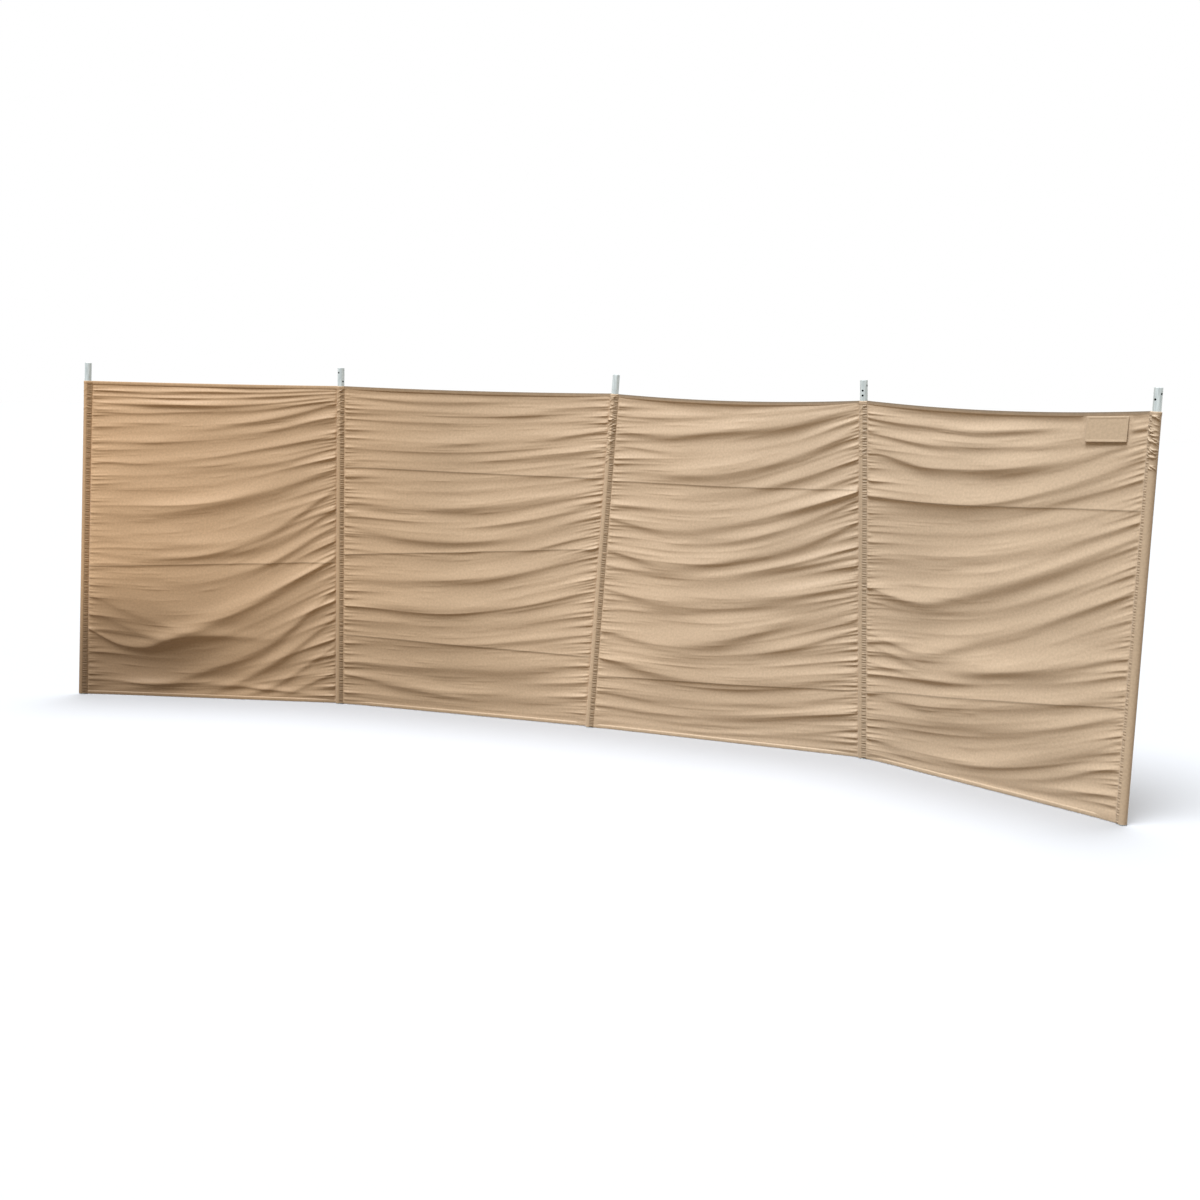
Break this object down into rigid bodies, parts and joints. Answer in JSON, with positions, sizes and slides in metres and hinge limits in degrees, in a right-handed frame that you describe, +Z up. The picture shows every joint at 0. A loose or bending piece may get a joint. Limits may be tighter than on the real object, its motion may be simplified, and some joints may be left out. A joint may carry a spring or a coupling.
{
  "type": "beach windbreak",
  "caption": "Beach windbreak: a strip of cloth in bays, sewn into sleeves on thin tube poles that stand in the ground in a shallow curve.",
  "frame": {"origin": "centre of the middle pole's foot, on the ground", "axes": "+Z up, +X along the strip from the first pole to the last, +Y to the back, away from the sheltered side"},
  "size_m": [3.9206, 0.4834, 1.2671],
  "materials": {
    "pole": "zinc-plated, satin",
    "cloth": "tan woven cloth",
    "hem": "tan woven cloth, folded and sewn",
    "patch": "plain sewn-on patch"
  },
  "bodies": {
    "root": {"pole_1": "pole", "pole_2": "pole", "pole_3": "pole", "pole_4": "pole", "pole_5": "pole", "sleeve_1": "cloth", "sleeve_2": "cloth", "sleeve_3": "cloth", "sleeve_4": "cloth", "sleeve_5": "cloth", "panel_1": "cloth", "panel_2": "cloth", "panel_3": "cloth", "panel_4": "cloth", "top_hem_1": "hem", "top_hem_2": "hem", "top_hem_3": "hem", "top_hem_4": "hem", "bottom_hem_1": "hem", "bottom_hem_2": "hem", "bottom_hem_3": "hem", "bottom_hem_4": "hem", "label_patch": "patch"}
  },
  "joints": []
}
